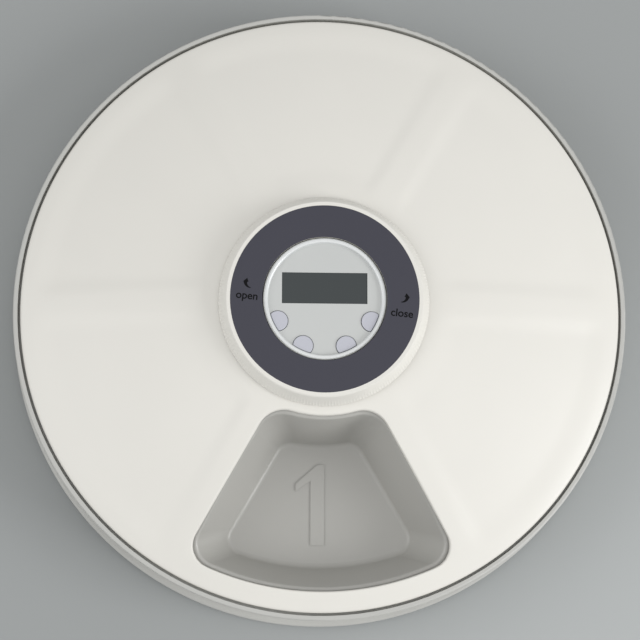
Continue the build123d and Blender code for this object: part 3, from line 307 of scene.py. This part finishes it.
def board_mask():
    """Green board mask with paler traces under it."""
    material = moulded("board_mask", MASK_GREEN, drift=0.2, coat=0.4)
    tree = material.node_tree
    place = tree.nodes.new("ShaderNodeTexCoord")
    traces = node(
        tree, "ShaderNodeTexBrick", Scale=TRACE_SCALE, Mortar_Size=0.05, Mortar_Smooth=0.2
    )
    tree.links.new(place.outputs["Object"], traces.inputs["Vector"])
    repaint(material, traces.outputs["Fac"], TRACE_GREEN)
    return material


def dress(material, *names):
    """Give CAD nodes a finish."""
    for name in names:
        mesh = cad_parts[name].data
        mesh.materials.clear()
        mesh.materials.append(material)


def new_piece(name, mesh, body, material, slot, *stands_for):
    """Link a finished mesh, let it ride on a body and stand for CAD nodes."""
    piece = bpy.data.objects.new(name, mesh)
    bpy.context.scene.collection.objects.link(piece)
    mesh.materials.clear()
    mesh.materials.append(material)
    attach(piece, body)
    if stands_for:
        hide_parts(*stands_for)


def finished_mesh(name, shape, sharp=None):
    """Turn a bmesh into a mesh, shaded smooth up to a sharp angle where one is given."""
    mesh = bpy.data.meshes.new(name)
    shape.to_mesh(mesh)
    shape.free()
    if sharp:
        mesh.shade_smooth()
        mesh.set_sharp_from_angle(angle=sharp)
    return mesh


def dome_height(sizes, radius, drop=0.0):
    """Height of the lid's dome at a radius, a drop below its outside."""
    r1, z1 = sizes.lid_edge, sizes.lid_edge_height
    r2, z2 = sizes.lid_seat_radius, sizes.lid_seat_height
    centre = (r1 * r1 + z1 * z1 - r2 * r2 - z2 * z2) / (2 * (z1 - z2))
    ball = math.hypot(r1, z1 - centre)
    return centre + math.sqrt((ball - drop) ** 2 - radius * radius)


def ease(share):
    """Smooth step from 0 to 1."""
    share = min(1.0, max(0.0, share))
    return share * share * (3 - 2 * share)


def recess_drop(sizes, x, y):
    """Depth of the soft recess at a point of the lid; none in the opening's own sector."""
    reach = math.hypot(x, y)
    turn = math.degrees(math.atan2(y, x)) + 90.0
    sector = round(turn / SECTOR_DEG)
    if sector % SECTORS == 0:
        return 0.0
    off = math.radians(turn - SECTOR_DEG * sector)
    side = reach * math.sin(HALF_SECTOR - abs(off)) - sizes.recess_side
    end = min(reach - sizes.recess_inner, sizes.recess_outer - reach)
    across, along = ease(0.5 + side / sizes.recess_slope), ease(0.5 + end / sizes.recess_fall)
    return sizes.recess_depth * across * along


def even_points(points, count):
    """Points spaced evenly along a fine polyline, both ends kept."""
    run = [0.0]
    for a, b in zip(points, points[1:]):
        run.append(run[-1] + (b - a).length)
    made = []
    seek = 0
    for step in range(count + 1):
        want = run[-1] * step / count
        while seek < len(run) - 2 and run[seek + 1] < want:
            seek += 1
        span = max(1e-9, run[seek + 1] - run[seek])
        made.append(points[seek].lerp(points[seek + 1], min(1.0, (want - run[seek]) / span)))
    return made


def opening_sides(sizes, along_count, across_count):
    """The opening's outline as inner, right, outer and left runs that meet at mid-corner."""
    side = sizes.opening_side
    along = Vector((math.sin(HALF_SECTOR), -math.cos(HALF_SECTOR)))
    inward = Vector((-math.cos(HALF_SECTOR), -math.sin(HALF_SECTOR)))
    r_in, r_out = sizes.opening_inner, sizes.opening_outer
    c_in, c_out = sizes.opening_corner_in, sizes.opening_corner_out

    def corner_hub(reach, corner):
        off = side + corner
        return along * math.sqrt(reach ** 2 - off ** 2) + inward * off

    def bend(hub, first, last):
        start, end = first - hub, last - hub
        whole = end.angle_signed(start)
        turns = [whole * i / CORNER_STEPS for i in range(CORNER_STEPS + 1)]
        return [hub + Matrix.Rotation(turn, 2) @ start for turn in turns]

    def arc(radius, end):
        turns = [math.atan2(end.x, -end.y) * i / ARC_STEPS for i in range(ARC_STEPS + 1)]
        return [Vector((radius * math.sin(turn), -radius * math.cos(turn))) for turn in turns]

    def flip(points):
        return [Vector((-p.x, p.y)) for p in points]

    hub_in, hub_out = corner_hub(r_in + c_in, c_in), corner_hub(r_out - c_out, c_out)
    foot_in, foot_out = hub_in - inward * c_in, hub_out - inward * c_out
    arc_in, arc_out = hub_in * (r_in / (r_in + c_in)), hub_out * (r_out / (r_out - c_out))
    corner_in = bend(hub_in, arc_in, foot_in)
    corner_out = bend(hub_out, foot_out, arc_out)
    middle = CORNER_STEPS // 2
    right = corner_in[middle:] + corner_out[:middle + 1]
    inner_half = arc(r_in, arc_in) + corner_in[1:middle + 1]
    inner_run = list(reversed(flip(inner_half))) + inner_half[1:]
    outer_half = corner_out[middle:] + list(reversed(arc(r_out, arc_out)))[1:]
    outer_run = outer_half + list(reversed(flip(outer_half)))[1:]
    return (
        even_points(inner_run, across_count),
        even_points(right, along_count),
        even_points(outer_run, across_count),
        even_points(list(reversed(flip(right))), along_count),
    )


def lid_mesh(sizes):
    """Domed lid with soft recesses, a rounded feeding opening, a skirt and a closed underside."""
    shut = COLUMNS - OPEN_COLUMNS
    stations = [sizes.lid_hole, sizes.lid_hole + HOLE_BAND]
    first, last = len(stations), len(stations) + ROWS
    stations += [PATCH_INNER + (PATCH_OUTER - PATCH_INNER) * i / ROWS for i in range(ROWS + 1)]
    stations += [RIM_RADIUS, *[sizes.lid_edge - band for band in RIM_BANDS]]
    shape = bmesh.new()
    angles = [math.radians(-SECTOR_DEG + 360.0 / COLUMNS * j) for j in range(COLUMNS)]
    sides = opening_sides(sizes, ROWS, OPEN_COLUMNS)
    outline = [p for run in sides for p in run[:-1]]

    def stitch(a, b):
        count = len(a)
        for i in range(count):
            n = (i + 1) % count
            shape.faces.new((a[i], b[i], b[n], a[n]))

    def sheet(drop, plain):
        grid = {}
        rows = len(stations) - (1 if plain else 0)
        for k, reach in enumerate(stations[:rows]):
            for j, angle in enumerate(angles):
                if first < k < last and j > shut:
                    continue
                x, y = reach * math.cos(angle), reach * math.sin(angle)
                z = dome_height(sizes, reach, drop) - (0.0 if plain else recess_drop(sizes, x, y))
                grid[k, j] = shape.verts.new((x, y, z))
        for k in range(rows - 1):
            for j in range(COLUMNS):
                if j >= shut and first <= k < last:
                    continue
                n = (j + 1) % COLUMNS
                shape.faces.new((grid[k, j], grid[k + 1, j], grid[k + 1, n], grid[k, n]))
        loop = [grid[first, (shut + j) % COLUMNS] for j in range(OPEN_COLUMNS)]
        loop += [grid[k, 0] for k in range(first, last)]
        loop += [grid[last, (COLUMNS - j) % COLUMNS] for j in range(OPEN_COLUMNS)]
        loop += [grid[k, shut] for k in range(last, first, -1)]
        lip = sizes.opening_lip
        steps = [(share, 0.0) for share in BLEND_SHARES]
        if not plain:
            steps += [(0.0, share * lip) for share in LIP_SHARES]
        ring = loop
        for gap_share, distance in [*steps, (0.0, 0.0)]:
            fresh = []
            for start, edge in zip(loop, outline):
                begin = start.co.xy
                gap = (begin - edge).length
                away = gap * gap_share + distance
                spot = edge + (begin - edge) * (min(1.0, away / gap))
                fall = 0.0
                if not plain and away < lip:
                    fall = lip - math.sqrt(max(0.0, lip * lip - (lip - away) ** 2))
                z = dome_height(sizes, spot.length, drop) - fall
                fresh.append(shape.verts.new((spot.x, spot.y, z)))
            stitch(ring, fresh)
            ring = fresh
        return [[grid[k, j] for j in range(COLUMNS)] for k in (0, rows - 1)], ring

    (top_hole, top_rim), top_edge = sheet(0.0, False)
    (under_hole, under_rim), under_edge = sheet(sizes.lid_wall, True)
    stitch(top_edge, under_edge)
    stitch(top_hole, under_hole)
    edge_top = dome_height(sizes, stations[-1])
    profile = [(sizes.lid_edge - inset, edge_top - fall) for inset, fall in EDGE_ROUND]
    profile += [
        (sizes.lid_edge, sizes.lid_bottom + SKIRT_CHAMFER),
        (sizes.lid_edge - SKIRT_CHAMFER, sizes.lid_bottom),
        (stations[-2], sizes.lid_bottom),
    ]
    ring = top_rim
    for reach, z in profile:
        fresh = [shape.verts.new((reach * math.cos(a), reach * math.sin(a), z)) for a in angles]
        stitch(ring, fresh)
        ring = fresh
    stitch(ring, under_rim)
    bmesh.ops.recalc_face_normals(shape, faces=shape.faces)
    return finished_mesh("lid_shell", shape, sharp=LID_SHARP_ANGLE)


def knurl_tree():
    """Geometry Nodes tree: slanted ridges set evenly round a cone."""
    tree = bpy.data.node_groups.new("knurl_ridges", "GeometryNodeTree")
    sockets = (
        ("Count", "NodeSocketInt"),
        ("Radius", "NodeSocketFloat"),
        ("Height", "NodeSocketFloat"),
        ("Ridge length", "NodeSocketFloat"),
        ("Ridge width", "NodeSocketFloat"),
        ("Slant", "NodeSocketFloat"),
        ("Finish", "NodeSocketMaterial"),
    )
    for name, kind in sockets:
        tree.interface.new_socket(name=name, in_out="INPUT", socket_type=kind)
    tree.interface.new_socket(name="Geometry", in_out="OUTPUT", socket_type="NodeSocketGeometry")
    add, link = tree.nodes.new, tree.links.new
    given, result = add("NodeGroupInput"), add("NodeGroupOutput")
    ridge = add("GeometryNodeMeshCylinder")
    ridge.inputs["Vertices"].default_value = KNURL_SIDES
    half = add("ShaderNodeMath")
    half.operation = "MULTIPLY"
    half.inputs[1].default_value = 0.5
    link(given.outputs["Ridge width"], half.inputs[0])
    link(half.outputs[0], ridge.inputs["Radius"])
    link(given.outputs["Ridge length"], ridge.inputs["Depth"])
    lean, place = add("ShaderNodeCombineXYZ"), add("ShaderNodeCombineXYZ")
    link(given.outputs["Slant"], lean.inputs["Y"])
    link(given.outputs["Radius"], place.inputs["X"])
    link(given.outputs["Height"], place.inputs["Z"])
    shift = add("GeometryNodeTransform")
    link(ridge.outputs["Mesh"], shift.inputs["Geometry"])
    link(lean.outputs[0], shift.inputs["Rotation"])
    link(place.outputs[0], shift.inputs["Translation"])
    spots = add("GeometryNodeMeshLine")
    spots.inputs["Offset"].default_value = (0, 0, 0)
    link(given.outputs["Count"], spots.inputs["Count"])
    index = add("GeometryNodeInputIndex")
    step, turn = add("ShaderNodeMath"), add("ShaderNodeMath")
    step.operation, turn.operation = "DIVIDE", "MULTIPLY"
    turn.inputs[1].default_value = 2 * math.pi
    link(index.outputs[0], step.inputs[0])
    link(given.outputs["Count"], step.inputs[1])
    link(step.outputs[0], turn.inputs[0])
    spin = add("ShaderNodeCombineXYZ")
    link(turn.outputs[0], spin.inputs["Z"])
    copies = add("GeometryNodeInstanceOnPoints")
    link(spots.outputs["Mesh"], copies.inputs["Points"])
    link(shift.outputs["Geometry"], copies.inputs["Instance"])
    link(spin.outputs[0], copies.inputs["Rotation"])
    real, finish = add("GeometryNodeRealizeInstances"), add("GeometryNodeSetMaterial")
    link(copies.outputs["Instances"], real.inputs["Geometry"])
    link(real.outputs["Geometry"], finish.inputs["Geometry"])
    link(given.outputs["Finish"], finish.inputs["Material"])
    link(finish.outputs["Geometry"], result.inputs["Geometry"])
    return tree


def plain_mesh(holder):
    """Take the mesh that an object's text or modifiers give and remove the object."""
    ready = holder.evaluated_get(bpy.context.evaluated_depsgraph_get())
    mesh = bpy.data.meshes.new_from_object(ready)
    bpy.data.objects.remove(holder)
    return mesh


def grown_mesh(name, tree, **inputs):
    """Run a tree once on an empty mesh and return the plain mesh it makes."""
    seed = bpy.data.objects.new(name, bpy.data.meshes.new(name + "_seed"))
    bpy.context.scene.collection.objects.link(seed)
    grow = seed.modifiers.new("grow", "NODES")
    grow.node_group = tree
    for item in tree.interface.items_tree:
        key = item.name.lower().replace(" ", "_")
        if item.in_out == "INPUT" and key in inputs:
            grow[item.identifier] = inputs[key]
    mesh = plain_mesh(seed)
    mesh.name = name
    return mesh


def word_mesh(word, height, spot, turn, z):
    """A printed word as a thin mesh lying on the ring's face."""
    curve = bpy.data.curves.new(word, "FONT")
    curve.body = word
    curve.size = height * FONT_SCALE
    curve.align_x, curve.align_y = "CENTER", "CENTER"
    curve.extrude = MARK_LIFT
    curve.offset = STROKE_GROWTH
    holder = bpy.data.objects.new(word, curve)
    bpy.context.scene.collection.objects.link(holder)
    mesh = plain_mesh(holder)
    mesh.transform(Matrix.Translation((spot[0], spot[1], z)) @ Matrix.Rotation(turn, 4, "Z"))
    return mesh


def arrow_mesh(name, spot, side, lean, z):
    """A small bent arrow: a tapering arc that bulges to one side, its head at the upper end."""
    shape = bmesh.new()

    def on_arc(radius, angle):
        return radius * math.cos(angle) - ARROW_BEND, radius * math.sin(angle)

    inner, outer = [], []
    for i in range(ARROW_STEPS + 1):
        angle = math.radians(ARROW_TAIL_DEG + ARROW_SWEEP_DEG * i / ARROW_STEPS)
        wide = ARROW_SLIM + ARROW_GROWTH * i / ARROW_STEPS
        inner.append(on_arc(ARROW_BEND - wide, angle))
        outer.append(on_arc(ARROW_BEND + wide, angle))
    inner_barb, outer_barb = [on_arc(ARROW_BEND + barb, ARROW_NECK) for barb in ARROW_BARBS]
    outline = [*inner, inner_barb, on_arc(ARROW_BEND, ARROW_TIP), outer_barb, *reversed(outer)]
    turn = Matrix.Rotation(lean - side * ARROW_LEAN, 2)
    flat = [turn @ Vector((side * x, y)) + Vector(spot) for x, y in outline]
    lower = [shape.verts.new((p.x, p.y, z - MARK_LIFT)) for p in flat]
    shape.faces.new(lower)
    lifted = bmesh.ops.extrude_face_region(shape, geom=shape.faces[:])
    for vert in (g for g in lifted["geom"] if isinstance(g, bmesh.types.BMVert)):
        vert.co.z += 2 * MARK_LIFT
    bmesh.ops.recalc_face_normals(shape, faces=shape.faces)
    bmesh.ops.triangulate(shape, faces=shape.faces)
    return finished_mesh(name, shape)


class FEEDER_OT_base(bpy.types.Operator):
    """Finish the base shell, its feet, the column and the screws under it"""

    bl_idname = "feeder.base"
    bl_label = "Base"

    def execute(self, context):
        colours = context.scene.feeder_colours
        shell = moulded("base_plastic", colours.base, rough=0.42, bump=0.08)
        dress(shell, "base_shell", "battery_door")
        rubber = moulded("foot_rubber", RUBBER_BLACK, rough=0.8, drift=0.2, grain=400.0, bump=0.3)
        dress(rubber, "rubber_feet")
        column = moulded("column_plastic", COLUMN_WHITE, rough=0.45, bump=0.08)
        dress(column, "centre_column", "motor_bracket", "ring_retainer", "lcd_frame")
        metal = {"metal": 1.0, "drift": 0.12, "grain": 500.0, "brush": (1, 1, 8)}
        steel = moulded("screw_steel", SCREW_GREY, **metal)
        dress(steel, "column_screws", "bracket_screws", "panel_screws", "retainer_screws")
        dress(steel, "motor_shaft", "idler_axle")
        return {"FINISHED"}


class FEEDER_OT_tray(bpy.types.Operator):
    """Finish the food tray"""

    bl_idname = "feeder.tray"
    bl_label = "Food tray"

    def execute(self, context):
        colours = context.scene.feeder_colours
        dress(moulded("tray_plastic", colours.tray, drift=0.03, bump=0.06, coat=0.2), "food_tray")
        return {"FINISHED"}


class FEEDER_OT_drive(bpy.types.Operator):
    """Finish the turntable, gears, motor, sensor and batteries"""

    bl_idname = "feeder.drive"
    bl_label = "Drive and power"

    def execute(self, context):
        acetal = moulded("gear_acetal", ACETAL_WHITE, rough=0.4, drift=0.03)
        dress(acetal, "turntable", "idler_gear", "motor_pinion", "glide_ring")
        can = moulded("motor_can", CAN_GREY, metal=1.0, drift=0.15, grain=300.0, brush=(1, 1, 10))
        dress(can, "gear_motor", "index_magnets")
        dress(board_mask(), "circuit_board", "position_sensor")
        black = moulded("switch_black", SWITCH_BLACK, rough=0.45, drift=0.2)
        dress(black, "tact_switches", "buzzer")
        sleeve = moulded("cell_sleeve", SLEEVE_BLUE, drift=0.2, coat=0.3)
        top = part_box("battery_cells")[1].z
        band = measure(sleeve, "DOT_PRODUCT", (0, 0, 1), *[top - fall for fall in SLEEVE_BAND])
        repaint(sleeve, band, SLEEVE_COPPER)
        dress(sleeve, "battery_cells")
        metal = {"metal": 1.0, "drift": 0.1, "grain": 500.0, "brush": (1, 6, 1)}
        brass = moulded("contact_plate", PLATE_YELLOW, **metal)
        dress(brass, "battery_contacts", "door_contacts")
        return {"FINISHED"}


class FEEDER_OT_lid(bpy.types.Operator):
    """Build the domed lid with its soft recesses and feeding opening"""

    bl_idname = "feeder.lid"
    bl_label = "Lid"

    def execute(self, context):
        sizes, colours = context.scene.feeder_sizes, context.scene.feeder_colours
        cream = moulded(
            "lid_cream", colours.lid, rough=0.40, drift=0.015, bump=0.03, coat=0.06, shine=0.4
        )
        dress(cream, "lid")
        new_piece("lid_dome", lid_mesh(sizes), "lid", cream, "lid_cream", "lid")
        return {"FINISHED"}


class FEEDER_OT_lock_ring(bpy.types.Operator):
    """Finish the lock ring, grow its knurl and print the open and close marks"""

    bl_idname = "feeder.lock_ring"
    bl_label = "Lock ring"

    def execute(self, context):
        sizes, colours = context.scene.feeder_sizes, context.scene.feeder_colours
        cream = moulded("ring_cream", colours.lid, drift=0.015, bump=0.03, coat=0.2)
        dress(cream, "lock_ring")
        dark = moulded("ring_print", colours.ring, rough=0.42, drift=0.06, grain=2200.0, bump=0.05)
        dress(dark, "ring_face")
        wide, slim = RING_HIGH.x, RING_HIGH.x - RING_FLARE
        foot, head = dome_height(sizes, wide) + KNURL_MARGIN, RING_HIGH.z - KNURL_MARGIN
        ridges = grown_mesh(
            "knurl",
            knurl_tree(),
            count=sizes.knurl_count,
            radius=(wide + slim) / 2 - KNURL_SINK,
            height=(foot + head) / 2,
            ridge_length=math.hypot(head - foot, wide - slim) * KNURL_SHARE,
            ridge_width=sizes.knurl_width,
            slant=-math.atan2(wide - slim, head - foot),
            finish=cream,
        )
        new_piece("knurl_ridges", ridges, "lock_ring", cream, "lid_cream")
        ink = moulded("mark_ink", INK_BLACK, rough=0.7, drift=0.2, shine=0.15)
        z = FACE_HIGH.z + MARK_LIFT
        for word, spot in WORDS:
            mesh = word_mesh(word, sizes.mark_height, spot, MARK_LEAN, z)
            new_piece("mark_" + word, mesh, "lock_ring", ink, "ring_dark")
        for name, spot, side in ARROWS:
            mesh = arrow_mesh(name, spot, side, MARK_LEAN, z)
            new_piece(name, mesh, "lock_ring", ink, "ring_dark")
        return {"FINISHED"}


class FEEDER_OT_control_head(bpy.types.Operator):
    """Finish the control panel, its display and its buttons"""

    bl_idname = "feeder.control_head"
    bl_label = "Control head"

    def execute(self, context):
        colours = context.scene.feeder_colours
        paint = {"metal": 0.2, "drift": 0.03, "grain": 2600.0, "bump": 0.06, "coat": 0.3}
        silver = moulded("panel_silver", colours.panel, **paint)
        # Painted highlight: the bezel ring is painted paler to stand in for its bright highlights
        repaint(silver, measure(silver, "LENGTH", (1, 1, 0), *BEZEL_HIGHLIGHT_EDGE), BEZEL_PAINTED_HIGHLIGHT)
        dress(silver, "control_panel")
        dress(moulded("display_blank", colours.display, bump=0.01, shine=0.3), "display_window")
        dress(moulded("display_glass", GLASS_GREEN, rough=0.2, coat=0.2), "lcd_module")
        lilac = moulded("button_lilac", colours.button, drift=0.03, bump=0.03, coat=0.2)
        dress(lilac, "button_1", "button_2", "button_3", "button_4")
        return {"FINISHED"}


class FEEDER_OT_stage(bpy.types.Operator):
    """Set the floor, the soft lights, the world and the camera"""

    bl_idname = "feeder.stage"
    bl_label = "Stage"

    def execute(self, context):
        scene = context.scene
        mesh = bpy.data.meshes.new("floor")
        square = ((-1, -1), (1, -1), (1, 1), (-1, 1))
        corners = [(x * FLOOR_REACH, y * FLOOR_REACH, 0) for x, y in square]
        mesh.from_pydata(corners, [], [(0, 1, 2, 3)])
        mesh.materials.append(floor_paper(scene.feeder_colours.floor))
        floor = bpy.data.objects.new("floor", mesh)
        scene.collection.objects.link(floor)
        for name, place, size, power in LAMPS:
            lamp = bpy.data.lights.new(name, "AREA")
            lamp.size = size
            lamp.energy = power
            lamp_object = bpy.data.objects.new(name, lamp)
            lamp_object.location = place
            aim = LAMP_AIM - Vector(place)
            lamp_object.rotation_euler = aim.to_track_quat("-Z", "Y").to_euler()
            scene.collection.objects.link(lamp_object)
        world = bpy.data.worlds.new("studio")
        world.use_nodes = True
        sky = world.node_tree.nodes["Background"]
        sky.inputs["Color"].default_value = WORLD_COLOUR
        sky.inputs["Strength"].default_value = WORLD_STRENGTH
        scene.world = world
        lens = bpy.data.cameras.new("camera")
        lens.sensor_width = SENSOR_WIDTH
        lens.lens = FOCAL_LENGTH
        camera = bpy.data.objects.new("camera", lens)
        camera.location = CAMERA_PLACE
        turn = Quaternion(CAMERA_TILT_DEG.normalized(), math.radians(CAMERA_TILT_DEG.length))
        camera.rotation_euler = turn.to_euler()
        scene.collection.objects.link(camera)
        scene.camera = camera
        scene.view_settings.view_transform = "Standard"
        return {"FINISHED"}


class FEEDER_PT_panel(bpy.types.Panel):
    """Sidebar list of the feeder's build steps"""

    bl_idname = "FEEDER_PT_panel"
    bl_label = "Pet feeder"
    bl_space_type = "VIEW_3D"
    bl_region_type = "UI"
    bl_category = "Feeder"

    def draw(self, context):
        for step in STEPS:
            self.layout.operator(step.bl_idname)
        for group in (context.scene.feeder_sizes, context.scene.feeder_colours):
            for name in group.bl_rna.properties.keys():
                if name not in {"rna_type", "name"}:
                    self.layout.prop(group, name)


STEPS = (
    FEEDER_OT_base,
    FEEDER_OT_tray,
    FEEDER_OT_drive,
    FEEDER_OT_lid,
    FEEDER_OT_lock_ring,
    FEEDER_OT_control_head,
    FEEDER_OT_stage,
)
CLASSES = (FeederSizes, FeederColours, *STEPS, FEEDER_PT_panel)


def register():
    """Register the classes and hang the settings on the scene."""
    for cls in CLASSES:
        bpy.utils.register_class(cls)
    bpy.types.Scene.feeder_sizes = PointerProperty(type=FeederSizes)
    bpy.types.Scene.feeder_colours = PointerProperty(type=FeederColours)


def unregister():
    """Take the settings and the classes away again."""
    del bpy.types.Scene.feeder_colours
    del bpy.types.Scene.feeder_sizes
    for cls in reversed(CLASSES):
        bpy.utils.unregister_class(cls)


def main():
    """Build every piece in order."""
    register()
    bpy.ops.feeder.base()
    bpy.ops.feeder.tray()
    bpy.ops.feeder.drive()
    bpy.ops.feeder.lid()
    bpy.ops.feeder.lock_ring()
    bpy.ops.feeder.control_head()
    bpy.ops.feeder.stage()


if __name__ == "__main__":
    main()
